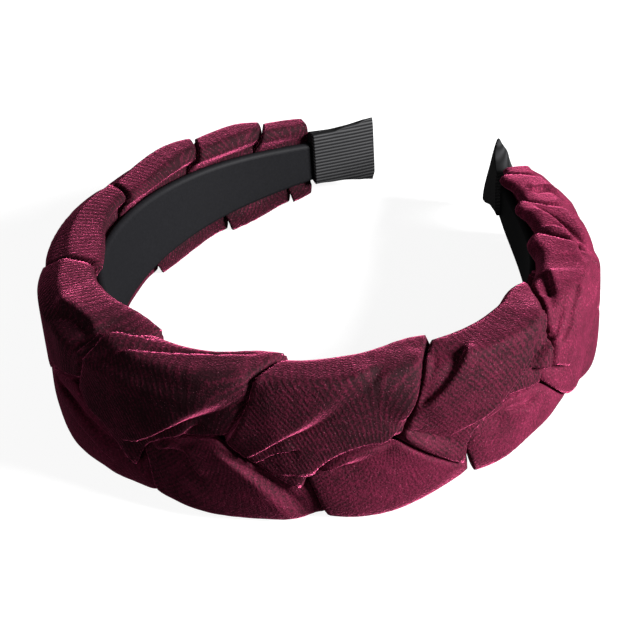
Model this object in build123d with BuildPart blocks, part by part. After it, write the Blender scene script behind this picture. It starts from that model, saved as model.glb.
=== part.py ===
from build123d import *
from collections import namedtuple
from math import cos, exp, hypot, pi, radians, sin
import os

# A padded velvet braid on a springy headband, lying on its side. +Z is up, the crown of the
# headband faces -Y and its two ends point to +Y. The origin is under the middle of its outline.

# The headband as a whole
HOOP_LENGTH = 355.0        # along the inner face, from end to end
MIDDLE_HEIGHT = 18.0       # of the band's middle line above the surface, over the origin
TILT_RIGHT = 1.5           # degrees by which the hoop dips toward +X where its lobes carry it
TILT_BACK = 2.5            # and toward +Y
BAND_LEAN = 0.016          # how far the band's middle line falls per mm toward its ends

# The springy band, faced in satin
BAND_WALL = 2.6
BAND_WIDTH = 30.8          # at the crown
BAND_END_WIDTH = 8.6
BAND_TAPER = 1.74          # power of the narrowing toward the ends
BAND_STATIONS = 23

# The braid
BRAID_REACH = 22.0         # from the band's middle line to the braid's edge, at the crown
BRAID_THICKNESS = 18.6     # from the head to the outside of the braid, at the crown
BRAID_GAP = 0.3            # between the band and the strands
STRAND_GAP = 0.8           # between two strands where they press together
EDGE_CLEAR = 1.0           # past the band's long edges the velvet bulges down beside the band,
EDGE_FALL = 2.2            # starting this far out and over this much of its width
EDGE_HANG = 4.0            # and its upper lobes hang this far inward over the band's edge,
HANG_REACH = 4.0           # over this much of their height
STRAND_STATIONS = 132
STRAND_POINTS = 14
STATION_STEP = HOOP_LENGTH / STRAND_STATIONS
TWIST_REACH = 9.0          # half the depth of the seam between two strands
END_CROWDING = 0.2         # how much closer the stations lie at the thin ends

# The ribbon folded round each end
WRAP_LENGTH = 20.0
WRAP_WIDTH = 21.8          # at the very end, where it flares
WRAP_RISE = 1.4            # of its middle line over the band's, where it meets the braid
WRAP_TWIST = 12.0          # degrees by which the free end of the right one leans outward
WRAP_THICKNESS = 10.0      # where it meets the braid
WRAP_WALL = 1.2            # ribbon between the band and the head
WRAP_INSET = 3.0           # the band stops this far inside the ribbon
WRAP_GAP = 0.3             # round the band, and to the strands' ends
WRAP_FOLD = 1.6            # thickness at its folded long edges
WRAP_FACE = -WRAP_WALL - WRAP_GAP
POCKET_WALL = BAND_WALL + 2 * WRAP_GAP
POCKET_DEPTHS = [WRAP_INSET - WRAP_GAP, (WRAP_INSET + WRAP_LENGTH) / 2, WRAP_LENGTH + WRAP_GAP]

# Sections of the ribbon, from its free end to the braid. Along is a share of WRAP_LENGTH, width of
# WRAP_WIDTH and thickness of WRAP_THICKNESS.
WrapSection = namedtuple("WrapSection", "along width thickness")
WRAP_SECTIONS = [
    WrapSection(0.00, 1.00, 0.22),
    WrapSection(0.13, 0.96, 0.58),
    WrapSection(0.35, 0.88, 0.68),
    WrapSection(0.65, 0.81, 0.80),
    WrapSection(1.00, 0.79, 1.00),
]

# How sharply the headband turns at nine evenly spaced places from its left end to its right end,
# in radians for each whole hoop length
BEND = [-2.66, 4.38, 4.85, 6.45, 6.92, 4.91, 7.63, 1.89, -5.40]
CROWN_HEADING = 0.03       # direction of the middle of the hoop, from +X, in radians
CURVE_STEPS = 1200
FLOOR_TRIES = 4

# Where a strand turns back at the upper edge of the braid. Place is a share of the hoop length from the
# left end, reach a share of BRAID_REACH, thickness a share of BRAID_THICKNESS, hang a share of EDGE_HANG.
TopTurn = namedtuple("TopTurn", "place reach thickness hang")
TOP_TURNS = [
    TopTurn(1.003, 0.41, 0.54, 1.0),
    TopTurn(0.955, 0.46, 0.59, 1.0),
    TopTurn(0.904, 0.59, 0.81, 1.0),
    TopTurn(0.854, 0.73, 0.94, 1.0),
    TopTurn(0.792, 0.84, 1.04, 0.8),
    TopTurn(0.700, 0.93, 1.02, 0.4),
    TopTurn(0.604, 1.00, 1.00, 0.0),
    TopTurn(0.514, 1.03, 1.00, 0.2),
    TopTurn(0.418, 0.97, 1.06, 1.0),
    TopTurn(0.299, 0.835, 0.86, 1.0),
    TopTurn(0.189, 0.82, 0.80, 1.0),
    TopTurn(0.118, 0.735, 0.67, 0.7),
    TopTurn(0.070, 0.59, 0.54, 0.4),
    TopTurn(0.023, 0.455, 0.43, 0.2),
]
# The same at the lower edge
BottomTurn = namedtuple("BottomTurn", "place reach")
BOTTOM_TURNS = [
    BottomTurn(0.952, 0.52),
    BottomTurn(0.904, 0.59),
    BottomTurn(0.851, 0.62),
    BottomTurn(0.789, 0.57),
    BottomTurn(0.701, 0.60),
    BottomTurn(0.617, 0.93),
    BottomTurn(0.528, 0.93),
    BottomTurn(0.439, 0.87),
    BottomTurn(0.341, 0.86),
    BottomTurn(0.242, 0.885),
    BottomTurn(0.163, 0.84),
    BottomTurn(0.101, 0.77),
    BottomTurn(0.048, 0.545),
    BottomTurn(0.000, 0.50),
    BottomTurn(-0.045, 0.455),
]

# How the strands weave, as shares of the braid's half width and half thickness
SWING = 0.38               # of a strand's centre, up and down
DIVE = 0.36                # of its centre, in and out
OVER_LEAD = 0.20           # radians by which it comes to the outside ahead of its turns
STRAND_WIDE = 0.80         # half width of a strand
STRAND_WIDE_OVER = 0.05    # how much wider it is as it crosses over
STRAND_DEEP = 0.86         # half thickness of a strand
STRAND_SQUARENESS = 2.3    # power of a strand's own rounded section
SEAM_SOFTNESS = 5.0        # power with which its limits blend: lower is rounder
SEAM_TILT = 1.5            # how far the seam between two strands tilts toward their layering
SEAM_SHIFT = 0.4           # how far the strand that lies over pushes it onto the one beneath
OUTER_POINTS = 0.35        # how much closer the points of a section lie on its outer side

# Folds pressed into the padded strands. Turn is the upper turn that a fold crosses, counted from the
# right end. Start and end lie this share of the hoop length to its right, or left if negative. The fold
# runs round the section from at_start to at_end, in degrees from straight up toward the outside.
# Depth is a share of the strand's radius there, width is in degrees.
Fold = namedtuple("Fold", "turn start end at_start at_end depth width")
FOLDS = [
    Fold(3, 0.030, -0.040, 70, 95, 0.12, 16),
    Fold(4, 0.035, -0.050, 62, 80, 0.10, 15),
    Fold(5, 0.040, -0.050, 38, 60, 0.08, 15),
    Fold(5, 0.030, -0.060, 85, 105, 0.08, 15),
    Fold(6, 0.030, -0.055, 55, 75, 0.06, 15),
    Fold(7, 0.040, -0.070, 32, 48, 0.09, 15),
    Fold(8, 0.040, -0.060, 65, 110, 0.10, 18),
    Fold(10, 0.020, -0.040, 65, 85, 0.10, 18),
]


def blend(table, place, column):
    """Value of a column between the rows of a table that runs from the right end to the left."""
    if place >= table[0].place:
        return getattr(table[0], column)
    for right, left in zip(table, table[1:]):
        if place >= left.place:
            share = (place - left.place) / (right.place - left.place)
            return getattr(left, column) + share * (getattr(right, column) - getattr(left, column))
    return getattr(table[-1], column)


def bend_at(share):
    """Turning per hoop length at a share of its length."""
    steps = len(BEND) - 1
    index = min(int(share * steps), steps - 1)
    part = share * steps - index
    return BEND[index] * (1 - part) + BEND[index + 1] * part


def hoop_curve():
    """Points and headings of the band's inner face, seen from above."""
    step = 1.0 / CURVE_STEPS
    headings = [0.0]
    for i in range(CURVE_STEPS):
        headings.append(headings[-1] + (bend_at(i * step) + bend_at((i + 1) * step)) / 2 * step)
    turn = CROWN_HEADING - headings[CURVE_STEPS // 2]
    headings = [heading + turn for heading in headings]
    xs, ys = [0.0], [0.0]
    for before, after in zip(headings, headings[1:]):
        xs.append(xs[-1] + (cos(before) + cos(after)) / 2 * step * HOOP_LENGTH)
        ys.append(ys[-1] + (sin(before) + sin(after)) / 2 * step * HOOP_LENGTH)
    return xs, ys, headings


def outline_middle():
    """Middle of the headband's outline from above, in the curve's own coordinates."""
    xs, ys = [], []
    for index, (x, y, heading) in enumerate(zip(CURVE_X, CURVE_Y, CURVE_HEADING)):
        thickness = BRAID_THICKNESS * blend(TOP_TURNS, index / CURVE_STEPS, "thickness")
        xs.append(x + sin(heading) * thickness)
        ys.append(y - cos(heading) * thickness)
    return (min(xs) + max(xs)) / 2, (min(ys) + max(CURVE_Y)) / 2


def tilted(x, y, z):
    """A direction or point of the level hoop, as it lies on its lobes."""
    right, back = radians(TILT_RIGHT), radians(TILT_BACK)
    return (
        x * cos(right) - y * sin(right) * sin(back) + z * sin(right) * cos(back),
        y * cos(back) + z * sin(back),
        -x * sin(right) - y * cos(right) * sin(back) + z * cos(right) * cos(back),
    )


CURVE_X, CURVE_Y, CURVE_HEADING = hoop_curve()
CURVE_MIDDLE_X, CURVE_MIDDLE_Y = outline_middle()


def station(length):
    """Place on the curve at a length from the left end: x, y and heading."""
    at = min(max(length / HOOP_LENGTH, 0.0), 1.0) * CURVE_STEPS
    low = min(int(at), CURVE_STEPS - 1)
    part = at - low
    x = CURVE_X[low] * (1 - part) + CURVE_X[low + 1] * part - CURVE_MIDDLE_X
    y = CURVE_Y[low] * (1 - part) + CURVE_Y[low + 1] * part - CURVE_MIDDLE_Y
    return x, y, CURVE_HEADING[low] * (1 - part) + CURVE_HEADING[low + 1] * part


def laid(x, y, above):
    """Point above the band's middle line at a place of the level hoop, as it lies."""
    x, y, z = tilted(x, y, above - BAND_LEAN * y)
    return x, y, z + MIDDLE_HEIGHT


def cross_plane(length, rise=0.0):
    """Plane across the band: its x runs outward from the head, its y is up."""
    x, y, heading = station(length)
    twist = radians(WRAP_TWIST) * max(1 - (HOOP_LENGTH - length) / WRAP_LENGTH, 0.0)
    return Plane(
        origin=laid(x, y, rise),
        x_dir=tilted(sin(heading) * cos(twist), -cos(heading) * cos(twist), -sin(twist)),
        z_dir=tilted(-cos(heading), -sin(heading), 0),
    )


def band_width(length):
    from_crown = abs(2 * length / HOOP_LENGTH - 1)
    return BAND_WIDTH - (BAND_WIDTH - BAND_END_WIDTH) * from_crown**BAND_TAPER


def strand_turns():
    """Each strand's turns from right to left, as (place, angle), with 0 at the top and pi below."""
    turns = [[], [], []]
    for index, row in enumerate(TOP_TURNS):
        turns[(index + 1) % 3].append((row.place, 0.0))
    for index, row in enumerate(BOTTOM_TURNS):
        turns[index % 3].append((row.place, pi))
    return [sorted(row, reverse=True) for row in turns]


TURNS = strand_turns()


def phase(strand, place):
    """How far round its weave a strand is: 0 at a top turn, pi at a bottom turn."""
    for right, left in zip(TURNS[strand], TURNS[strand][1:]):
        if left[0] <= place <= right[0]:
            return right[1] + pi * (right[0] - place) / (right[0] - left[0])
    return TURNS[strand][0][1]


def braid_size(length):
    """Reach up, reach down and thickness of the braid at a length along the hoop."""
    place = length / HOOP_LENGTH
    return (
        BRAID_REACH * blend(TOP_TURNS, place, "reach"),
        BRAID_REACH * blend(BOTTOM_TURNS, place, "reach"),
        BRAID_THICKNESS * blend(TOP_TURNS, place, "thickness"),
    )


def strand_centre(strand, length):
    up, down, thickness = braid_size(length)
    angle = phase(strand, length / HOOP_LENGTH)
    floor = BAND_WALL + BRAID_GAP
    half = (thickness - floor) / 2
    across = (up - down) / 2 + (up + down) / 2 * SWING * cos(angle)
    level = sin(2 * (angle + OVER_LEAD))
    return across, floor + half * (1 + DIVE * level), level


def limit(direction, distance, cosine, sine):
    """One over the radius at which a flat limit is met, or 0 when looking away from it."""
    return max(cosine * direction[0] + sine * direction[1], 0.0) / max(distance, BRAID_GAP)


def smooth_step(value):
    value = min(max(value, 0.0), 1.0)
    return value * value * (3 - 2 * value)


def inner_limit(length, across):
    """How far out the strands start: above the band, and nearly at the head beside it."""
    floor = BAND_WALL + BRAID_GAP
    beyond = (abs(across) - band_width(length) / 2 - EDGE_CLEAR) / EDGE_FALL
    return floor + (BRAID_GAP - floor) * smooth_step(beyond)


def edge_hang(length, across):
    """How far the velvet leans inward over the band's upper edge."""
    above = (across - band_width(length) / 2 - EDGE_CLEAR) / HANG_REACH
    return EDGE_HANG * blend(TOP_TURNS, length / HOOP_LENGTH, "hang") * smooth_step(above)


def fold_depth(strand, length, angle):
    """Share by which the folds of the strand draw its surface in."""
    depth = 0.0
    for fold in FOLDS:
        if (fold.turn + 1) % 3 != strand:
            continue
        place = length / HOOP_LENGTH - TOP_TURNS[fold.turn].place
        along = (place - fold.start) / (fold.end - fold.start)
        if not 0 < along < 1:
            continue
        across = radians(fold.at_start + (fold.at_end - fold.at_start) * along)
        away = (angle - across + pi) % (2 * pi) - pi
        depth += fold.depth * sin(pi * along) * exp(-((away / radians(fold.width)) ** 2))
    return depth


def seam_normal(strand, other, length):
    """Direction from a strand to its neighbour across the seam that they share, and its distance."""
    across, outward, level = strand_centre(strand, length)
    other_across, other_outward, other_level = strand_centre(other, length)
    toward = (other_across - across, other_outward - outward)
    normal = (toward[0], toward[1] * SEAM_TILT**2)
    size = hypot(*normal)
    normal = (normal[0] / size, normal[1] / size)
    share = 0.5 + SEAM_SHIFT * (level - other_level) / 2
    return normal, (toward[0] * normal[0] + toward[1] * normal[1]) * share


def seam(strand, other, length):
    """Limit of a strand toward its neighbour, further off where the seam twists fast."""
    normal, distance = seam_normal(strand, other, length)
    before, _ = seam_normal(strand, other, length - STATION_STEP / 2)
    after, _ = seam_normal(strand, other, length + STATION_STEP / 2)
    twist = 1 - before[0] * after[0] - before[1] * after[1]
    return normal, distance - STRAND_GAP / 2 - TWIST_REACH * twist


def strand_section(strand, length):
    """Outline of a strand across the hoop, as (across, outward) pairs."""
    up, down, thickness = braid_size(length)
    across, outward, level = strand_centre(strand, length)
    floor = BAND_WALL + BRAID_GAP
    wide = (up + down) / 2 * STRAND_WIDE * (1 + STRAND_WIDE_OVER * level)
    deep = (thickness - floor) / 2 * STRAND_DEEP
    seams = [seam(strand, other, length) for other in range(3) if other != strand]
    seams.append(((1, 0), up - across))
    seams.append(((-1, 0), down + across))
    seams.append(((0, 1), thickness - outward))
    seams.append(((0, -1), outward - BRAID_GAP))
    outline = []
    for index in range(STRAND_POINTS):
        turn = 2 * pi * index / STRAND_POINTS
        turn += OUTER_POINTS * cos(turn)
        cosine, sine = cos(turn), sin(turn)
        own = ((abs(cosine) / wide) ** STRAND_SQUARENESS + (abs(sine) / deep) ** STRAND_SQUARENESS)
        total = own ** (SEAM_SOFTNESS / STRAND_SQUARENESS)
        for normal, distance in seams:
            total += limit(normal, distance, cosine, sine) ** SEAM_SOFTNESS
        radius = total ** (-1 / SEAM_SOFTNESS) * (1 - fold_depth(strand, length, turn))
        # the band and the head cut the strand short on its inner side
        for _ in range(FLOOR_TRIES):
            lowest = inner_limit(length, across + radius * cosine)
            if outward + radius * sine < lowest:
                radius = (outward - lowest) / -sine
        edge = across + radius * cosine
        outline.append((edge, outward + radius * sine - edge_hang(length, edge)))
    return outline


def strand_solid(strand):
    """Closed faceted solid of one strand, between the two end wraps."""
    first = WRAP_LENGTH + WRAP_GAP
    last = HOOP_LENGTH - WRAP_LENGTH - WRAP_GAP
    rings = []
    for index in range(STRAND_STATIONS):
        share = index / (STRAND_STATIONS - 1)
        share -= END_CROWDING * sin(2 * pi * share) / (2 * pi)
        length = first + (last - first) * share
        x, y, heading = station(length)
        ring = [
            laid(x + sin(heading) * outward, y - cos(heading) * outward, across)
            for across, outward in strand_section(strand, length)
        ]
        rings.append([(point[0], point[1], max(point[2], 0.0)) for point in ring])
    triangles = []
    for ring, following in zip(rings, rings[1:]):
        for index in range(STRAND_POINTS):
            after = (index + 1) % STRAND_POINTS
            triangles.append((ring[index], following[index], following[after]))
            triangles.append((ring[index], following[after], ring[after]))
    for index in range(1, STRAND_POINTS - 1):
        triangles.append((rings[0][0], rings[0][index], rings[0][index + 1]))
        triangles.append((rings[-1][0], rings[-1][index + 1], rings[-1][index]))
    faces = [Face(Wire.make_polygon([Vector(*corner) for corner in corners])) for corners in triangles]
    return Solid(Shell(faces))


# The springy band
with BuildPart() as hoop_band:
    for index in range(BAND_STATIONS):
        length = WRAP_INSET + (HOOP_LENGTH - 2 * WRAP_INSET) * index / (BAND_STATIONS - 1)
        edge = band_width(length) / 2
        flat = edge - BAND_WALL / 2
        with BuildSketch(cross_plane(length)):
            with BuildLine():
                Line((BAND_WALL, -flat), (BAND_WALL, flat))
                ThreePointArc((BAND_WALL, flat), (BAND_WALL / 2, edge), (0, flat))
                Line((0, flat), (0, -flat))
                ThreePointArc((0, -flat), (BAND_WALL / 2, -edge), (BAND_WALL, -flat))
            make_face()
    loft()

# The three padded strands
with BuildPart() as strand_a:
    add(strand_solid(0))

with BuildPart() as strand_b:
    add(strand_solid(1))

with BuildPart() as strand_c:
    add(strand_solid(2))

# The ribbon round the left end, with a pocket for the band
with BuildPart() as end_wrap_left:
    for row in WRAP_SECTIONS:
        edge = WRAP_WIDTH / 2 * row.width
        flat = edge - WRAP_FOLD / 2
        crest = WRAP_FACE + WRAP_THICKNESS * row.thickness
        with BuildSketch(cross_plane(row.along * WRAP_LENGTH, WRAP_RISE * row.along)):
            with BuildLine():
                Line((WRAP_FACE, -flat), (WRAP_FACE, flat))
                ThreePointArc((WRAP_FACE, flat), (WRAP_FACE + WRAP_FOLD / 2, edge), (WRAP_FACE + WRAP_FOLD, flat))
                ThreePointArc((WRAP_FACE + WRAP_FOLD, flat), (crest, 0), (WRAP_FACE + WRAP_FOLD, -flat))
                ThreePointArc((WRAP_FACE + WRAP_FOLD, -flat), (WRAP_FACE + WRAP_FOLD / 2, -edge), (WRAP_FACE, -flat))
            make_face()
    loft()
    for depth in POCKET_DEPTHS:
        edge = band_width(depth) / 2 + WRAP_GAP
        flat = edge - POCKET_WALL / 2
        with BuildSketch(cross_plane(depth)):
            with BuildLine():
                Line((BAND_WALL + WRAP_GAP, -flat), (BAND_WALL + WRAP_GAP, flat))
                ThreePointArc((BAND_WALL + WRAP_GAP, flat), (BAND_WALL / 2, edge), (-WRAP_GAP, flat))
                Line((-WRAP_GAP, flat), (-WRAP_GAP, -flat))
                ThreePointArc((-WRAP_GAP, -flat), (BAND_WALL / 2, -edge), (BAND_WALL + WRAP_GAP, -flat))
            make_face()
    loft(mode=Mode.SUBTRACT)

# The ribbon round the right end, with a pocket for the band
with BuildPart() as end_wrap_right:
    for row in WRAP_SECTIONS:
        edge = WRAP_WIDTH / 2 * row.width
        flat = edge - WRAP_FOLD / 2
        crest = WRAP_FACE + WRAP_THICKNESS * row.thickness
        with BuildSketch(cross_plane(HOOP_LENGTH - row.along * WRAP_LENGTH, WRAP_RISE * row.along)):
            with BuildLine():
                Line((WRAP_FACE, -flat), (WRAP_FACE, flat))
                ThreePointArc((WRAP_FACE, flat), (WRAP_FACE + WRAP_FOLD / 2, edge), (WRAP_FACE + WRAP_FOLD, flat))
                ThreePointArc((WRAP_FACE + WRAP_FOLD, flat), (crest, 0), (WRAP_FACE + WRAP_FOLD, -flat))
                ThreePointArc((WRAP_FACE + WRAP_FOLD, -flat), (WRAP_FACE + WRAP_FOLD / 2, -edge), (WRAP_FACE, -flat))
            make_face()
    loft()
    for depth in POCKET_DEPTHS:
        edge = band_width(depth) / 2 + WRAP_GAP
        flat = edge - POCKET_WALL / 2
        with BuildSketch(cross_plane(HOOP_LENGTH - depth)):
            with BuildLine():
                Line((BAND_WALL + WRAP_GAP, -flat), (BAND_WALL + WRAP_GAP, flat))
                ThreePointArc((BAND_WALL + WRAP_GAP, flat), (BAND_WALL / 2, edge), (-WRAP_GAP, flat))
                Line((-WRAP_GAP, flat), (-WRAP_GAP, -flat))
                ThreePointArc((-WRAP_GAP, -flat), (BAND_WALL / 2, -edge), (BAND_WALL + WRAP_GAP, -flat))
            make_face()
    loft(mode=Mode.SUBTRACT)

for piece, name in (
    (hoop_band, "hoop_band"),
    (strand_a, "strand_a"),
    (strand_b, "strand_b"),
    (strand_c, "strand_c"),
    (end_wrap_left, "end_wrap_left"),
    (end_wrap_right, "end_wrap_right"),
):
    piece.part.label = name

os.makedirs("parts", exist_ok=True)
export_step(hoop_band.part, "parts/hoop_band.step")
export_step(strand_a.part, "parts/strand_a.step")
export_step(strand_b.part, "parts/strand_b.step")
export_step(strand_c.part, "parts/strand_c.step")
export_step(end_wrap_left.part, "parts/end_wrap_left.step")
export_step(end_wrap_right.part, "parts/end_wrap_right.step")
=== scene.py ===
from collections import namedtuple
from math import cos, pi, radians, sin

import bpy
import numpy as np
from mathutils import Matrix, Vector


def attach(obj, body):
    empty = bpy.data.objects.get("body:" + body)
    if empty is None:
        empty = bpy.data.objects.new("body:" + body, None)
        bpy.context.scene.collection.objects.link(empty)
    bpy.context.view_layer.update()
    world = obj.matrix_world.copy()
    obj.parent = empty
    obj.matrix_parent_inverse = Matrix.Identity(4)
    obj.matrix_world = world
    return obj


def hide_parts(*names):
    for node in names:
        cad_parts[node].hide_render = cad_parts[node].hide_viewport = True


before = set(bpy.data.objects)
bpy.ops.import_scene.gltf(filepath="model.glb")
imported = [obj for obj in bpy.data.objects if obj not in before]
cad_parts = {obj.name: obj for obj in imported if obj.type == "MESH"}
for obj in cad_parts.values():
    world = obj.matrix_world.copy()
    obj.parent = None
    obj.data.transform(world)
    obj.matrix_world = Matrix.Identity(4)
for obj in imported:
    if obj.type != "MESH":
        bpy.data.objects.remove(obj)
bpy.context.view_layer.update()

MM = 0.001

# Sizes and tables of the headband in millimetres, as in the solids but for a few turns
HOOP_LENGTH = 355.0        # along the inner face, from end to end
MIDDLE_HEIGHT = 18.0       # of the band's middle line above the surface
TILT_RIGHT = 1.5           # degrees by which the hoop dips toward +X
TILT_BACK = 2.5            # and toward +Y
BAND_LEAN = 0.016          # how far the band's middle line falls per mm toward its ends
BAND_WALL = 2.6
BAND_WIDTH = 30.8
BAND_END_WIDTH = 8.6
BAND_TAPER = 1.74
BRAID_REACH = 22.0         # from the band's middle line to the braid's edge, at the crown
BRAID_THICKNESS = 18.6     # from the head to the outside of the braid, at the crown
BRAID_GAP = 0.3            # between the band and the strands
EDGE_CLEAR = 1.0           # past the band's long edges the velvet bulges down beside the band,
EDGE_FALL = 2.2            # starting this far out and over this much of its width
EDGE_HANG = 4.0            # and its upper lobes hang this far inward over the band's edge,
HANG_REACH = 4.0           # over this much of their height
WRAP_LENGTH = 20.0
WRAP_WIDTH = 21.8
WRAP_RISE = 1.4
WRAP_TWIST = 12.0
WRAP_THICKNESS = 10.0
WRAP_WALL = 1.2
WRAP_GAP = 0.3
WRAP_FOLD = 1.6
RIGHT_TAPER = 3.0          # how much the right ribbon narrows below, down to the band
RIGHT_TAPER_RATE = 1.2     # the narrowing is over before the braid by this factor
WRAP_RIPPLE = 0.25
WRAP_RIPPLES = 5
WRAP_RIPPLE_SIDE = 0.3     # the ripples reach this far round from the inner face
HEM_WAVE = 0.7             # of the ribbon's free end
HEM_WAVES = 3.2
HEM_WAVE_START = 0.6
HEM_WAVE_SHARE = 0.3       # of the ribbon's length over which the wave dies out
WRAP_STATIONS = 70
WRAP_POINTS = 96
WRAP_EDGE_POWER = 0.7
WRAP_CREST_POWER = 1.2
WRAP_BACK_POWER = 0.5
WRAP_FACE = -WRAP_WALL - WRAP_GAP

WrapSection = namedtuple("WrapSection", "along width thickness")
WRAP_SECTIONS = [
    WrapSection(0.00, 1.00, 0.22),
    WrapSection(0.13, 0.96, 0.58),
    WrapSection(0.35, 0.88, 0.68),
    WrapSection(0.65, 0.81, 0.80),
    WrapSection(1.00, 0.79, 1.00),
]

BEND = [-2.66, 4.38, 4.85, 6.45, 6.92, 4.91, 7.63, 1.89, -5.40]
CROWN_HEADING = 0.03
CURVE_STEPS = 1200

# Places are shares of HOOP_LENGTH and reaches of BRAID_REACH, thickness is of BRAID_THICKNESS and
# hang of EDGE_HANG. The painted light share is how much painted sheen a turn's velvet colour carries,
# most on the right arm where the key light falls, with painted shade at 0.
TopTurn = namedtuple("TopTurn", "place reach thickness hang nap")
TOP_TURNS = [
    TopTurn(1.003, 0.41, 0.54, 1.0, 0.90),
    TopTurn(0.972, 0.48, 0.59, 1.0, 0.90),
    TopTurn(0.912, 0.64, 0.81, 1.0, 1.00),
    TopTurn(0.854, 0.73, 0.94, 1.0, 1.00),
    TopTurn(0.792, 0.86, 1.04, 0.5, 0.90),
    TopTurn(0.711, 0.98, 1.02, 0.2, 0.25),
    TopTurn(0.611, 1.02, 1.00, 0.0, 0.00),
    TopTurn(0.514, 1.03, 1.00, 0.2, 0.00),
    TopTurn(0.418, 0.97, 1.06, 1.0, 0.00),
    TopTurn(0.299, 0.835, 0.86, 1.0, 0.00),
    TopTurn(0.189, 0.82, 0.80, 1.0, 0.00),
    TopTurn(0.118, 0.735, 0.67, 0.7, 0.00),
    TopTurn(0.070, 0.59, 0.54, 0.4, 0.05),
    TopTurn(0.023, 0.455, 0.43, 0.2, 0.10),
]
BottomTurn = namedtuple("BottomTurn", "place reach nap")
BOTTOM_TURNS = [
    BottomTurn(0.952, 0.52, 0.90),
    BottomTurn(0.904, 0.59, 0.90),
    BottomTurn(0.851, 0.62, 0.95),
    BottomTurn(0.789, 0.57, 0.90),
    BottomTurn(0.701, 0.60, 0.85),
    BottomTurn(0.617, 0.93, 0.65),
    BottomTurn(0.528, 0.93, 0.50),
    BottomTurn(0.439, 0.87, 0.70),
    BottomTurn(0.341, 0.86, 0.50),
    BottomTurn(0.242, 0.885, 0.25),
    BottomTurn(0.163, 0.84, 0.00),
    BottomTurn(0.101, 0.77, 0.00),
    BottomTurn(0.048, 0.545, 0.00),
    BottomTurn(0.000, 0.50, 0.00),
    BottomTurn(-0.045, 0.455, 0.00),
]

SWING = 0.38               # of the strands from side to side, as a share of the braid's width
DIVE = 0.36                # of the strands in and out, as a share of half its thickness
OVER_LEAD = 0.20           # radians by which a strand rises before its turn
STRAND_WIDE = 0.80         # half width of a strand, as a share of the braid's
STRAND_WIDE_OVER = 0.05
STRAND_DEEP = 0.86         # half thickness of a strand
EDGE_FILL = 0.78           # how nearly the strands fill the braid out to an even edge,
FRONT_FILL = 0.70          # to an even front
INNER_FILL = 0.35          # and against the band
FILL_ROUND = 1.2           # a full strand's own outline reaches this far past the braid's
STRAND_SQUARENESS = 2.3
SEAM_SOFTNESS = 20.0       # power that rounds the corners of a section
SEAM_TILT = 1.5            # how far the seams lean toward the face of the braid
SEAM_SHIFT = 0.4           # how far a seam moves toward the strand beneath
SEAM_GAP = 0.1
HEM_REACH = 2.2            # round edge of the strand that lies over
HEM_DROP = 0.7
TUCK_REACH = 6.0           # how far the strand beneath sinks toward the one that lies over it
TUCK_DROP = 0.5
BENEATH_BY = 0.9           # difference of level at which a strand lies fully beneath
MOST_SUNK = 0.6            # of a section's radius
LEAST_RADIUS = 0.5
FACING_STEP = 0.6          # the tuck and the hem grow over this much of the turn outward,
TUCK_FACING = 0.1          # the tuck from here
HEM_FACING = -0.7          # and the hem from here
FLOOR_CLEAR = 0.05
TURN_EASE = 6.0            # millimetres over which the tables' corners are rounded
STATION_EASE = 1.8         # and over which a strand's own edges are evened out along it
OUTER_POINTS = 0.25        # how much closer the points lie on the outside
RIB_PITCH = 0.88           # of the velvet
GRAIN_EASE = 18.0          # millimetres over which the ribs turn
PAINTED_LIGHT_EASE = 12.0            # and the painted sheen and shade change
PAINTED_SHADE_TONE = -0.4            # painted shade: velvet tone where the painted light share is 0
# painted sheen: velvet tone where the painted light share is 1, on the turns the key light falls on
PAINTED_LIGHT_TONE = 0.56
RIBS_HIDDEN_IN_SHEEN = 0.8     # share of the ribs hidden where the painted sheen is full
GRAIN_STEEPNESS = 1.6      # how much steeper the ribs cross the braid than its centre lines
STRAND_STATIONS = 640
STRAND_POINTS = 110
FLOOR_TRIES = 4            # rounds of shortening a strand to the band and the head

# Folds of the velvet and edges where one layer lies over the next. A line is points as the length
# along the hoop and degrees round the braid's section, 0 straight out and 90 straight up. The layer
# on the line's left lies over where side is 1, and the one on its right where side is -1.
Fold = namedtuple("Fold", "line side step groove")
FOLD_MIDDLE = 8.0          # how far out the degrees are counted from
FOLD_TALL = 18.0           # half height and depth of the round that they are counted on
FOLD_DEEP = 14.0
FOLD_REACH = 5.0           # how far from its line a fold's step dies out
FOLD_EDGE = 0.35           # half the width of the step itself
FOLD_GAIN = 1.5            # how much stronger than in the table the steps are made
FOLD_GROOVE = 0.8          # width of the crease beneath the step
FOLD_GROOVE_GAIN = 1.6
FOLD_STEPS = 60
FOLD_CORNERS = 6           # a line's corners are rounded over one part in this many
FOLD_FADE = 6              # and its ends fade over as much
FOLD_END = 0.1
FOLD_BEYOND = 1.5
FOLD_FAR = 3 * FOLD_REACH
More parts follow.
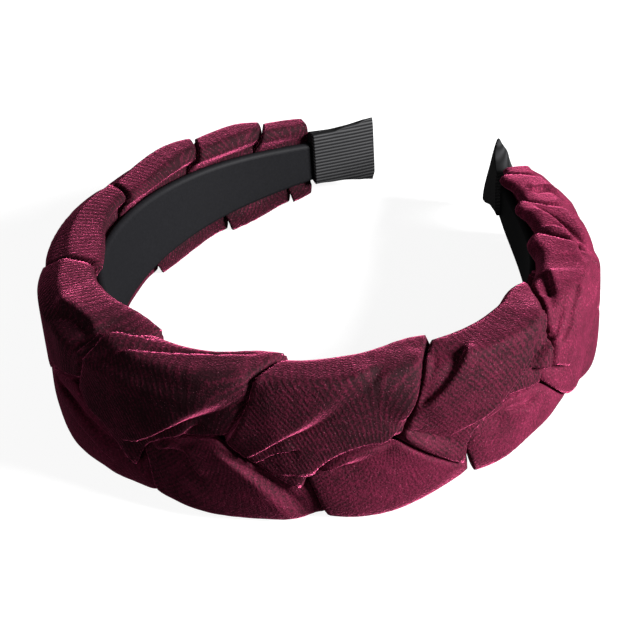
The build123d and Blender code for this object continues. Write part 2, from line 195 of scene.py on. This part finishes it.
FOLDS = [
    Fold([(229, 84), (227, 68), (225, 60), (224, 49), (222, 39), (220, 29)], -1, 2.4, 0.5),
    Fold([(220, 29), (216, 8), (211, -2), (206, -13), (200, -19), (196, -24)], -1, 2.4, 0.5),
    Fold([(218, 74), (213, 61), (207, 51), (203, 41), (196, 24), (189, -6)], -1, 2.0, 0.4),
    Fold([(200, 14), (196, 8), (191, -14)], -1, 1.2, 0.3),
    Fold([(236, 74), (232, 58), (228, 49), (224, 42)], 1, 2.4, 0.4),
    Fold([(219, 27), (224, 7), (229, -10), (232, -23), (235, -39)], -1, 2.2, 0.4),
    Fold([(184, 16), (189, -8), (193, -25), (197, -46), (202, -66)], -1, 2.2, 0.4),
    Fold([(195, 66), (190, 58), (182, 42), (176, 26), (169, 0), (164, -19)], -1, 2.6, 0.5),
    Fold([(160, 50), (166, 64), (171, 73), (179, 84), (186, 90), (193, 98)], -1, 1.2, 0.6),
    Fold([(154, 48), (155, 57), (157, 69), (163, 79), (168, 87)], -1, 2.0, 0.4),
    Fold([(138, 50), (145, 60), (151, 63), (155, 60)], 1, 1.8, 0.4),
    Fold([(140, -3), (145, -11), (151, -22), (157, -31), (162, -40)], 1, 1.2, 0.6),
    Fold([(143, 4), (150, -4), (155, -16), (160, -26), (166, -32)], -1, 1.4, 0.5),
    Fold([(145, 5), (153, 9), (159, 1), (163, -14)], 1, 1.2, 0.0),
    Fold([(166, -14), (168, -30), (170, -42), (173, -54)], -1, 1.8, 0.4),
    Fold([(182, 36), (178, 12), (175, -6), (172, -19)], -1, 1.6, 0.4),
    Fold([(178, 2), (179, -14), (181, -29)], 1, 1.4, 0.4),
    Fold([(260, 81), (254, 60), (249, 48), (244, 35), (239, 18), (231, 0)], -1, 1.4, 0.7),
    Fold([(262, 76), (256, 56), (251, 44), (246, 30), (240, 8), (233, -12)], -1, 1.4, 0.7),
    Fold([(263, 59), (258, 50), (253, 41), (249, 32)], 1, 1.3, 0.4),
    Fold([(269, 58), (262, 49), (256, 38)], 1, 1.2, 0.4),
    Fold([(249, 32), (255, 24), (260, 8)], 1, 2.0, 0.5),
    Fold([(242, 7), (246, 0), (250, -10)], -1, 1.4, 0.4),
    Fold([(316, 89), (317, 70), (316, 58), (312, 46)], 1, 1.4, 0.4),
    Fold([(307, 95), (303, 85), (299, 77), (294, 71), (288, 63), (283, 52)], -1, 1.5, 0.4),
    Fold([(312, 47), (303, 44), (295, 45), (286, 48)], -1, 1.2, 0.3),
    Fold([(294, 94), (293, 80), (290, 71), (286, 66), (281, 63), (276, 58)], -1, 1.3, 0.4),
    Fold([(271, 90), (266, 80), (261, 67)], 1, 1.3, 0.5),
]


# The hoop's curve
def hoop_curve():
    steps = np.linspace(0, 1, CURVE_STEPS + 1)
    bend = np.interp(steps, np.linspace(0, 1, len(BEND)), BEND)
    heading = np.concatenate([[0], np.cumsum((bend[1:] + bend[:-1]) / 2 / CURVE_STEPS)])
    heading += CROWN_HEADING - heading[CURVE_STEPS // 2]
    run = HOOP_LENGTH / CURVE_STEPS
    x = np.concatenate([[0], np.cumsum((np.cos(heading[1:]) + np.cos(heading[:-1])) / 2 * run)])
    y = np.concatenate([[0], np.cumsum((np.sin(heading[1:]) + np.sin(heading[:-1])) / 2 * run)])
    outer = BRAID_THICKNESS * column(TOP_TURNS, "thickness", steps)
    outer_x, outer_y = x + np.sin(heading) * outer, y - np.cos(heading) * outer
    x = x - (outer_x.min() + outer_x.max()) / 2
    y = y - (outer_y.min() + y.max()) / 2
    return steps * HOOP_LENGTH, x, y, heading


def column(table, name, place):
    places = np.array([row.place for row in table])[::-1]
    values = np.array([getattr(row, name) for row in table])[::-1]
    return np.interp(place, places, values)


def smooth_step(value):
    value = np.clip(value, 0, 1)
    return value * value * (3 - 2 * value)


def eased(values, step, over=TURN_EASE):
    """Rounds the corners of evenly spaced values."""
    count = max(int(over / step) | 1, 1)
    if count < 3:
        return values
    weights = np.hanning(count + 2)[1:-1]
    weights /= weights.sum()
    before = values[0] + np.arange(-count, 0) * (values[1] - values[0])
    after = values[-1] + np.arange(1, count + 1) * (values[-1] - values[-2])
    long = np.concatenate([before, values, after])
    return np.convolve(long, weights, "same")[count:-count]


CURVE = hoop_curve()


def laid(length, across, outward, rise=0.0):
    """Points at lengths along the hoop, heights above the band's middle line and distances outward."""
    at, x, y, heading = CURVE
    twist = radians(WRAP_TWIST) * np.maximum(1 - (HOOP_LENGTH - length) / WRAP_LENGTH, 0)
    across, outward = (
        rise + (across - rise) * np.cos(twist) - outward * np.sin(twist),
        outward * np.cos(twist) + (across - rise) * np.sin(twist),
    )
    x = np.interp(length, at, x)
    y = np.interp(length, at, y)
    heading = np.interp(length, at, heading)
    x = x + np.sin(heading) * outward
    y = y - np.cos(heading) * outward
    z = across - BAND_LEAN * y
    right, back = radians(TILT_RIGHT), radians(TILT_BACK)
    return np.stack([
        x * cos(right) - y * sin(right) * sin(back) + z * sin(right) * cos(back),
        y * cos(back) + z * sin(back),
        MIDDLE_HEIGHT - x * sin(right) - y * cos(right) * sin(back) + z * cos(right) * cos(back),
    ], -1)


def band_width(length):
    from_crown = np.abs(2 * length / HOOP_LENGTH - 1)
    return BAND_WIDTH - (BAND_WIDTH - BAND_END_WIDTH) * from_crown**BAND_TAPER


# The weave
def strand_turns():
    turns = [[], [], []]
    for index, row in enumerate(TOP_TURNS):
        turns[(index + 1) % 3].append((row.place, 0.0))
    for index, row in enumerate(BOTTOM_TURNS):
        turns[index % 3].append((row.place, pi))
    return [sorted(row) for row in turns]


def turn_values(strand, name, length):
    """A column of both tables, for one strand's own turns, at evenly spaced lengths."""
    rows = [(row.place, getattr(row, name)) for row in TOP_TURNS[(strand + 2) % 3::3]]
    rows += [(row.place, getattr(row, name)) for row in BOTTOM_TURNS[strand::3]]
    rows.sort()
    values = np.interp(length / HOOP_LENGTH, [row[0] for row in rows], [row[1] for row in rows])
    return eased(values, length[1] - length[0], PAINTED_LIGHT_EASE)


def weave(length):
    """Reaches, thickness, phases and centres of the three strands at evenly spaced lengths."""
    place, step = length / HOOP_LENGTH, length[1] - length[0]
    up = BRAID_REACH * eased(column(TOP_TURNS, "reach", place), step)
    down = BRAID_REACH * eased(column(BOTTOM_TURNS, "reach", place), step)
    thickness = BRAID_THICKNESS * eased(column(TOP_TURNS, "thickness", place), step)
    floor = BAND_WALL + BRAID_GAP
    half = (thickness - floor) / 2
    phases, centres, levels = [], [], []
    for turns in strand_turns():
        angles = turns[0][1] - pi * np.arange(len(turns))
        phase = eased(np.interp(place, [turn[0] for turn in turns], angles), step)
        level = np.sin(2 * (phase + OVER_LEAD))
        phases.append(phase)
        levels.append(level)
        centres.append(np.stack([
            (up - down) / 2 + (up + down) / 2 * SWING * np.cos(phase),
            floor + half * (1 + DIVE * level),
        ], 1))
    return up, down, thickness, phases, centres, levels


def fold_rise(length, across, outward):
    """How far the folds lift or sink the braid's surface at the points of evenly spaced sections."""
    round_at = FOLD_DEEP * np.arctan2(across / FOLD_TALL, (outward - FOLD_MIDDLE) / FOLD_DEEP)
    at = np.broadcast_to(length[:, None], round_at.shape)
    rise = np.zeros(at.shape)
    share = np.linspace(0, 1, FOLD_STEPS)
    for fold in FOLDS:
        places = np.linspace(0, 1, len(fold.line))
        lengths = np.interp(share, places, [point[0] for point in fold.line])
        line = eased(lengths, 1, FOLD_STEPS / FOLD_CORNERS)
        angles = np.interp(share, places, [radians(point[1]) for point in fold.line])
        line_round = FOLD_DEEP * eased(angles, 1, FOLD_STEPS / FOLD_CORNERS)
        near = (length > line.min() - FOLD_FAR) & (length < line.max() + FOLD_FAR)
        along, around = at[near][..., None] - line, round_at[near][..., None] - line_round
        distance = along**2 + around**2
        nearest = distance.argmin(-1)[..., None]
        along, around = (np.take_along_axis(part, nearest, -1)[..., 0] for part in (along, around))
        nearest = nearest[..., 0]
        run, run_round = np.gradient(line), np.gradient(line_round)
        size = np.hypot(run, run_round)
        side = fold.side * (run[nearest] * around - run_round[nearest] * along) / size[nearest]
        beyond = (run[nearest] * along + run_round[nearest] * around) / size[nearest]
        fade = np.clip(FOLD_FADE * share, FOLD_END, 1) * np.clip(FOLD_FADE * (1 - share), FOLD_END, 1)
        fade = fade[nearest] * np.exp(-((beyond / FOLD_BEYOND) ** 2))
        step = FOLD_GAIN * fold.step / 2 * np.tanh(side / FOLD_EDGE)
        step = step * np.exp(-np.abs(side) / FOLD_REACH)
        groove = FOLD_GROOVE_GAIN * fold.groove * np.exp(-(((side + FOLD_GROOVE / 2) / FOLD_GROOVE) ** 2))
        rise[near] += fade * (step - groove)
    return rise


def strand_sections(strand, length):
    """Each section's outline as (across, outward) arrays of stations by points."""
    up, down, thickness, phases, centres, levels = weave(length)
    floor = BAND_WALL + BRAID_GAP
    turn = np.linspace(0, 2 * pi, STRAND_POINTS, endpoint=False)
    turn = turn + OUTER_POINTS * np.cos(turn)
    cosine, sine = np.cos(turn)[None], np.sin(turn)[None]
    level, centre = levels[strand], centres[strand]
    wide = ((up + down) / 2 * STRAND_WIDE * (1 + STRAND_WIDE_OVER * level))[:, None]
    room = np.where(cosine > 0, (up - centre[:, 0])[:, None], (down + centre[:, 0])[:, None])
    wide = wide + EDGE_FILL * (FILL_ROUND * room - wide)
    deep = ((thickness - floor) / 2)[:, None] * STRAND_DEEP
    room = np.where(sine > 0, (thickness - centre[:, 1])[:, None], (centre[:, 1] - BRAID_GAP)[:, None])
    deep = deep + np.where(sine > 0, FRONT_FILL, INNER_FILL) * (FILL_ROUND * room - deep)
    own = (np.abs(cosine) / wide) ** STRAND_SQUARENESS + (np.abs(sine) / deep) ** STRAND_SQUARENESS
    total = own ** (SEAM_SOFTNESS / STRAND_SQUARENESS)
    one, none = np.ones(len(length)), np.zeros(len(length))
    limits = [
        (np.stack([one, none], 1), up - centre[:, 0]),
        (np.stack([-one, none], 1), down + centre[:, 0]),
        (np.stack([none, one], 1), thickness - centre[:, 1]),
        (np.stack([none, -one], 1), centre[:, 1] - BRAID_GAP),
    ]
    for normal, distance in limits:
        facing = np.maximum(cosine * normal[:, :1] + sine * normal[:, 1:], 0)
        total = total + (facing / np.maximum(distance, BRAID_GAP)[:, None]) ** SEAM_SOFTNESS
    radius = total ** (-1 / SEAM_SOFTNESS)
    rise = fold_rise(length, centre[:, :1] + radius * cosine, centre[:, 1:] + radius * sine)
    radius = np.maximum(radius + rise * (thickness / BRAID_THICKNESS)[:, None], LEAST_RADIUS)
    total = radius ** (-SEAM_SOFTNESS)
    seams = []
    for other in range(3):
        if other == strand:
            continue
        toward = centres[other] - centre
        normal = np.stack([toward[:, 0], toward[:, 1] * SEAM_TILT**2], 1)
        normal /= np.linalg.norm(normal, axis=1)[:, None]
        over = level - levels[other]
        share = 0.5 + SEAM_SHIFT * over / 2
        seams.append((normal, (toward * normal).sum(1) * share - SEAM_GAP / 2, over))
    for normal, distance, _ in seams:
        facing = np.maximum(cosine * normal[:, :1] + sine * normal[:, 1:], 0)
        total = total + (facing / np.maximum(distance, BRAID_GAP)[:, None]) ** SEAM_SOFTNESS
    radius = total ** (-1 / SEAM_SOFTNESS)
    # the strand that lies over keeps a round hem, and the one beneath sinks toward it
    stoutness = (thickness / BRAID_THICKNESS)[:, None]
    outside = smooth_step((sine - TUCK_FACING) / FACING_STEP) * stoutness
    rounded = smooth_step((sine - HEM_FACING) / FACING_STEP) * stoutness
    for normal, distance, over in seams:
        facing = cosine * normal[:, :1] + sine * normal[:, 1:]
        inside = np.maximum(distance[:, None] - radius * facing, 0)
        beneath = smooth_step(-over / BENEATH_BY)[:, None]
        hem = HEM_DROP * np.clip(1 - inside / HEM_REACH, 0, 1) ** 2 * (1 - beneath)
        tuck = TUCK_DROP * np.exp(-((inside / TUCK_REACH) ** 2)) * beneath
        radius = radius - np.minimum(hem * rounded + tuck * outside, radius * MOST_SUNK)
    width = band_width(length)[:, None] / 2
    for _ in range(FLOOR_TRIES):
        beyond = smooth_step((np.abs(centre[:, :1] + radius * cosine) - width - EDGE_CLEAR) / EDGE_FALL)
        lowest = floor + (BRAID_GAP - floor) * beyond
        short = (centre[:, 1:] - lowest) / np.maximum(-sine, 1e-6)
        radius = np.where(centre[:, 1:] + radius * sine < lowest, np.abs(short), radius)
    across, outward = centre[:, :1] + radius * cosine, centre[:, 1:] + radius * sine
    step = length[1] - length[0]
    across = np.apply_along_axis(eased, 0, across, step, STATION_EASE)
    outward = np.apply_along_axis(eased, 0, outward, step, STATION_EASE)
    hang = EDGE_HANG * eased(column(TOP_TURNS, "hang", length / HOOP_LENGTH), step)[:, None]
    outward = outward - hang * smooth_step((across - width - EDGE_CLEAR) / HANG_REACH)
    return across, outward, centre, phases[strand]


def tube_mesh(name, rings, chart):
    """Closed tube through rings of points (stations by points by 3, in mm), with a chart of UVs."""
    stations, points, _ = rings.shape
    vertices = rings.reshape(-1, 3) * MM
    index = np.arange(stations * points).reshape(stations, points)
    a, b = index[:-1], index[1:]
    faces = np.stack([a, np.roll(a, -1, 1), np.roll(b, -1, 1), b], -1).reshape(-1, 4).tolist()
    faces.append(index[0][::-1].tolist())
    faces.append(index[-1].tolist())
    mesh = bpy.data.meshes.new(name)
    mesh.from_pydata(vertices.tolist(), [], faces)
    layer = mesh.uv_layers.new(name="UVMap")
    loops = np.zeros(len(mesh.loops), dtype=np.int32)
    mesh.loops.foreach_get("vertex_index", loops)
    layer.data.foreach_set("uv", chart.reshape(-1, 2)[loops].astype(np.float32).ravel())
    mesh.polygons.foreach_set("use_smooth", np.ones(len(mesh.polygons), dtype=bool))
    mesh.update()
    piece = bpy.data.objects.new(name, mesh)
    bpy.context.scene.collection.objects.link(piece)
    return piece


def strand_piece(strand, name):
    length = np.linspace(WRAP_LENGTH + WRAP_GAP, HOOP_LENGTH - WRAP_LENGTH - WRAP_GAP, STRAND_STATIONS)
    across, outward, centre, phase = strand_sections(strand, length)
    rings = laid(length[:, None], across, outward)
    rings[..., 2] = np.maximum(rings[..., 2], FLOOR_CLEAR)
    climb = np.gradient(centre[:, 0], length)
    slope = eased(np.arctan(GRAIN_STEEPNESS * climb), length[1] - length[0], GRAIN_EASE)
    along = np.cumsum((np.cos(slope) + climb * np.sin(slope)) * (length[1] - length[0]))
    chart = np.stack([
        along[:, None] + (across - centre[:, :1]) * np.sin(slope)[:, None],
        (across - centre[:, :1]) * np.cos(slope)[:, None] + outward,
    ], -1)
    piece = tube_mesh(name, rings, chart)
    # painted sheen and shade: each turn's velvet colour is brightened where the key light falls and
    # darkened where it does not
    nap = turn_values(strand, "nap", length)[:, None] + 0 * across
    painted_light, ribbing = PAINTED_SHADE_TONE + (PAINTED_LIGHT_TONE - PAINTED_SHADE_TONE) * nap, 1 - RIBS_HIDDEN_IN_SHEEN * nap
    for attribute, values in (("painted_light", painted_light), ("ribbing", ribbing)):
        layer = piece.data.attributes.new(attribute, "FLOAT", "POINT")
        layer.data.foreach_set("value", values.astype(np.float32).ravel())
    return piece


def wrap_piece(side, name):
    """Ribbon folded round an end: its sections widen, pinch flat and end in a wavy hem."""
    share = np.linspace(0, 1, WRAP_STATIONS)
    rows = WRAP_SECTIONS
    at = [row.along for row in rows]
    edge = WRAP_WIDTH / 2 * np.interp(share, at, [row.width for row in rows])[:, None]
    crest = WRAP_FACE + WRAP_THICKNESS * np.interp(share, at, [row.thickness for row in rows])
    turn = np.linspace(0, 2 * pi, WRAP_POINTS, endpoint=False)
    cosine, sine = np.cos(turn)[None], np.sin(turn)[None]
    if side == "right":
        edge = edge - RIGHT_TAPER * smooth_step(share * RIGHT_TAPER_RATE)[:, None] * (cosine < 0)
    across = edge * np.sign(cosine) * np.abs(cosine) ** WRAP_EDGE_POWER
    ripple = WRAP_RIPPLE * np.sin(WRAP_RIPPLES * share[:, None] * pi)
    across = across + ripple * np.clip(-sine + WRAP_RIPPLE_SIDE, 0, 1)
    side_level = WRAP_FACE + WRAP_FOLD / 2
    upper = side_level + (crest[:, None] - side_level) * np.clip(sine, 0, 1) ** WRAP_CREST_POWER
    lower = side_level - WRAP_FOLD / 2 * np.clip(-sine, 0, 1) ** WRAP_BACK_POWER
    outward = np.where(sine >= 0, upper, lower)
    length = share[:, None] * WRAP_LENGTH + 0 * across
    rise = WRAP_RISE * share[:, None]
    if side == "right":
        length = HOOP_LENGTH - length
    # the hem at the tip is wavy
    wave = HEM_WAVE * np.sin(HEM_WAVES * across / WRAP_WIDTH * pi + HEM_WAVE_START)
    wave = wave * np.clip(1 - share[:, None] / HEM_WAVE_SHARE, 0, 1)
    length = length + np.where(side == "right", -wave, wave)
    rings = laid(length, across + rise, outward, rise)
    chart = np.stack([across, length], -1)
    if side == "right":
        rings, chart = rings[::-1], chart[::-1]
    return tube_mesh(name, rings, chart)


# Materials
def new_material(name):
    material = bpy.data.materials.new(name)
    material.use_nodes = True
    tree = material.node_tree
    shader = tree.nodes["Principled BSDF"]
    return material, tree, shader


def node(tree, kind, **values):
    made = tree.nodes.new(kind)
    for key, value in values.items():
        setattr(made, key, value)
    return made


def ranged(tree, value, given, wanted):
    made = node(tree, "ShaderNodeMapRange")
    made.inputs["From Min"].default_value, made.inputs["From Max"].default_value = given
    made.inputs["To Min"].default_value, made.inputs["To Max"].default_value = wanted
    tree.links.new(value, made.inputs["Value"])
    return made.outputs["Result"]


def combined(tree, operation, one, other):
    made = node(tree, "ShaderNodeMath", operation=operation)
    tree.links.new(one, made.inputs[0])
    tree.links.new(other, made.inputs[1])
    return made.outputs[0]


def added(tree, one, other):
    return combined(tree, "ADD", one, other)


def halved(tree, value):
    made = node(tree, "ShaderNodeMath", operation="MULTIPLY")
    made.inputs[1].default_value = 0.5
    tree.links.new(value, made.inputs[0])
    return made.outputs[0]


def velvet():
    """Ribbed velvet: dark between fine ribs, with painted sheen and painted shade from the strands'
    painted light share, and painted glints.
    """
    material, tree, shader = new_material("velvet")
    link = tree.links.new
    chart = node(tree, "ShaderNodeUVMap", uv_map="UVMap")
    wave = node(tree, "ShaderNodeTexWave", wave_type="BANDS", bands_direction="X")
    wave.inputs["Scale"].default_value = 0.1 * pi / RIB_PITCH
    wave.inputs["Distortion"].default_value = 0.8
    wave.inputs["Detail"].default_value = 2.0
    wave.inputs["Detail Scale"].default_value = 6.0
    link(chart.outputs[0], wave.inputs["Vector"])
    place = node(tree, "ShaderNodeTexCoord")
    mottle = node(tree, "ShaderNodeTexNoise")
    mottle.inputs["Scale"].default_value = 170.0
    mottle.inputs["Detail"].default_value = 6.0
    mottle.inputs["Roughness"].default_value = 0.65
    link(place.outputs["Object"], mottle.inputs["Vector"])
    grain = node(tree, "ShaderNodeTexNoise")
    grain.inputs["Scale"].default_value = 1900.0
    grain.inputs["Detail"].default_value = 2.0
    link(place.outputs["Object"], grain.inputs["Vector"])
    glint = node(tree, "ShaderNodeTexVoronoi")
    glint.inputs["Scale"].default_value = 1100.0
    link(place.outputs["Object"], glint.inputs["Vector"])
    # painted sheen and shade, carried by the strands' attribute
    painted_light = node(tree, "ShaderNodeAttribute", attribute_name="painted_light")
    ribbing = node(tree, "ShaderNodeAttribute", attribute_name="ribbing")
    rib = ranged(tree, wave.outputs["Fac"], (0.1, 0.95), (0.0, 0.3))
    rib = combined(tree, "MULTIPLY", rib, ribbing.outputs["Fac"])
    speck = ranged(tree, grain.outputs["Fac"], (0.35, 0.72), (0.0, 0.6))
    cloud = ranged(tree, mottle.outputs["Fac"], (0.32, 0.68), (-0.18, 0.22))
    level = added(tree, added(tree, rib, speck), added(tree, cloud, painted_light.outputs["Fac"]))
    tone = node(tree, "ShaderNodeValToRGB")
    ramp = tone.color_ramp
    ramp.elements[0].position, ramp.elements[0].color = 0.0, (0.008, 0.0008, 0.0022, 1)
    ramp.elements[1].position, ramp.elements[1].color = 1.0, (0.36, 0.034, 0.098, 1)
    middle = ramp.elements.new(0.45)
    middle.color = (0.066, 0.0042, 0.0165, 1)
    link(halved(tree, level), tone.inputs["Fac"])
    spark = node(tree, "ShaderNodeMix", data_type="RGBA")
    spark.inputs["B"].default_value = (0.75, 0.22, 0.34, 1)
    link(ranged(tree, glint.outputs["Distance"], (0.12, 0.05), (0.0, 0.2)), spark.inputs["Factor"])
    link(tone.outputs["Color"], spark.inputs["A"])
    link(spark.outputs["Result"], shader.inputs["Base Color"])
    shader.inputs["Roughness"].default_value = 0.8
    shader.inputs["Specular IOR Level"].default_value = 0.08
    shader.inputs["Sheen Weight"].default_value = 0.6
    shader.inputs["Sheen Roughness"].default_value = 0.3
    shader.inputs["Sheen Tint"].default_value = (0.85, 0.12, 0.28, 1)
    bump = node(tree, "ShaderNodeBump")
    bump.inputs["Strength"].default_value = 0.8
    bump.inputs["Distance"].default_value = 0.00022
    link(added(tree, rib, speck), bump.inputs["Height"])
    link(bump.outputs["Normal"], shader.inputs["Normal"])
    return material


def satin():
    material, tree, shader = new_material("satin")
    link = tree.links.new
    place = node(tree, "ShaderNodeTexCoord")
    weave_noise = node(tree, "ShaderNodeTexNoise")
    weave_noise.inputs["Scale"].default_value = 1800.0
    weave_noise.inputs["Detail"].default_value = 2.0
    link(place.outputs["Object"], weave_noise.inputs["Vector"])
    tone = node(tree, "ShaderNodeMix", data_type="RGBA")
    tone.inputs["A"].default_value = (0.0020, 0.0020, 0.0024, 1)
    tone.inputs["B"].default_value = (0.0060, 0.0060, 0.0070, 1)
    link(weave_noise.outputs["Fac"], tone.inputs["Factor"])
    link(tone.outputs["Result"], shader.inputs["Base Color"])
    shader.inputs["Roughness"].default_value = 0.6
    shader.inputs["Specular IOR Level"].default_value = 0.06
    bump = node(tree, "ShaderNodeBump")
    bump.inputs["Strength"].default_value = 0.25
    bump.inputs["Distance"].default_value = 0.00005
    link(weave_noise.outputs["Fac"], bump.inputs["Height"])
    link(bump.outputs["Normal"], shader.inputs["Normal"])
    return material


def grosgrain():
    material, tree, shader = new_material("grosgrain")
    link = tree.links.new
    chart = node(tree, "ShaderNodeUVMap", uv_map="UVMap")
    wave = node(tree, "ShaderNodeTexWave", wave_type="BANDS", bands_direction="X")
    wave.inputs["Scale"].default_value = 0.285
    wave.inputs["Distortion"].default_value = 0.3
    wave.inputs["Detail"].default_value = 1.0
    link(chart.outputs[0], wave.inputs["Vector"])
    tone = node(tree, "ShaderNodeMix", data_type="RGBA")
    tone.inputs["A"].default_value = (0.0015, 0.0015, 0.0018, 1)
    tone.inputs["B"].default_value = (0.011, 0.011, 0.012, 1)
    link(wave.outputs["Fac"], tone.inputs["Factor"])
    link(tone.outputs["Result"], shader.inputs["Base Color"])
    shader.inputs["Roughness"].default_value = 0.65
    shader.inputs["Specular IOR Level"].default_value = 0.2
    bump = node(tree, "ShaderNodeBump")
    bump.inputs["Strength"].default_value = 0.8
    bump.inputs["Distance"].default_value = 0.0002
    link(wave.outputs["Fac"], bump.inputs["Height"])
    link(bump.outputs["Normal"], shader.inputs["Normal"])
    return material


VELVET, SATIN, GROSGRAIN = velvet(), satin(), grosgrain()

for strand, letter in enumerate("abc"):
    piece = strand_piece(strand, "velvet_strand_" + letter)
    piece.data.materials.append(VELVET)
    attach(piece, "root")
    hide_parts("strand_" + letter)

for side in ("left", "right"):
    piece = wrap_piece(side, "ribbon_" + side)
    piece.data.materials.append(GROSGRAIN)
    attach(piece, "root")
    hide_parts("end_wrap_" + side)

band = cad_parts["hoop_band"]
for slot in band.material_slots:
    slot.material = SATIN

# Floor, light and camera
floor_mesh = bpy.data.meshes.new("floor")
floor_mesh.from_pydata([(-3, -3, 0), (3, -3, 0), (3, 3, 0), (-3, 3, 0)], [], [(0, 1, 2, 3)])
floor = bpy.data.objects.new("floor", floor_mesh)
bpy.context.scene.collection.objects.link(floor)
floor_material, floor_tree, floor_shader = new_material("floor")
floor_shader.inputs["Base Color"].default_value = (0.25, 0.25, 0.25, 1)
floor_shader.inputs["Roughness"].default_value = 0.9
floor_shader.inputs["Specular IOR Level"].default_value = 0.0
floor_shader.inputs["Emission Color"].default_value = (1, 1, 1, 1)
floor_shader.inputs["Emission Strength"].default_value = 0.9
floor_mesh.materials.append(floor_material)
floor.visible_diffuse = False
floor.visible_glossy = False

world = bpy.data.worlds.new("studio")
world.use_nodes = True
world.node_tree.nodes["Background"].inputs["Color"].default_value = (1, 1, 1, 1)
world.node_tree.nodes["Background"].inputs["Strength"].default_value = 0.07
bpy.context.scene.world = world


def area_light(name, place, aim, size, watts):
    light = bpy.data.lights.new(name, "AREA")
    light.shape = "SQUARE"
    light.size = size
    light.energy = watts
    lamp = bpy.data.objects.new(name, light)
    lamp.location = place
    lamp.rotation_euler = (Vector(aim) - Vector(place)).to_track_quat("-Z", "Y").to_euler()
    bpy.context.scene.collection.objects.link(lamp)


area_light("key", (1.0, 0.1, 0.42), (0.03, -0.02, 0.02), 0.4, 66.0)
area_light("fill", (-0.1, -1.0, 0.32), (0, 0, 0), 0.9, 4.0)

AZIMUTH, ELEVATION, ROLL = radians(30.03), radians(37.37), radians(-6.51)
CAMERA_PLACE = (0.1905, -0.3279, 0.2933)
FOCAL_PIXELS = 1706.2
PHOTO_PIXELS = 640
CENTRE_PIXELS = (14.9, 8.6)

back = Vector((sin(AZIMUTH) * cos(ELEVATION), -cos(AZIMUTH) * cos(ELEVATION), sin(ELEVATION)))
right = Vector((cos(AZIMUTH), sin(AZIMUTH), 0))
up = back.cross(right)
right, up = right * cos(ROLL) + up * sin(ROLL), up * cos(ROLL) - right * sin(ROLL)
camera_data = bpy.data.cameras.new("camera")
camera_data.sensor_width = 36
camera_data.lens = FOCAL_PIXELS / PHOTO_PIXELS * camera_data.sensor_width
camera_data.shift_x = -CENTRE_PIXELS[0] / PHOTO_PIXELS
camera_data.shift_y = CENTRE_PIXELS[1] / PHOTO_PIXELS
camera_data.clip_start = 0.01
camera = bpy.data.objects.new("camera", camera_data)
bpy.context.scene.collection.objects.link(camera)
camera.matrix_world = Matrix.Translation(CAMERA_PLACE) @ Matrix((right, up, back)).transposed().to_4x4()
bpy.context.scene.camera = camera
bpy.context.scene.view_settings.view_transform = "Standard"
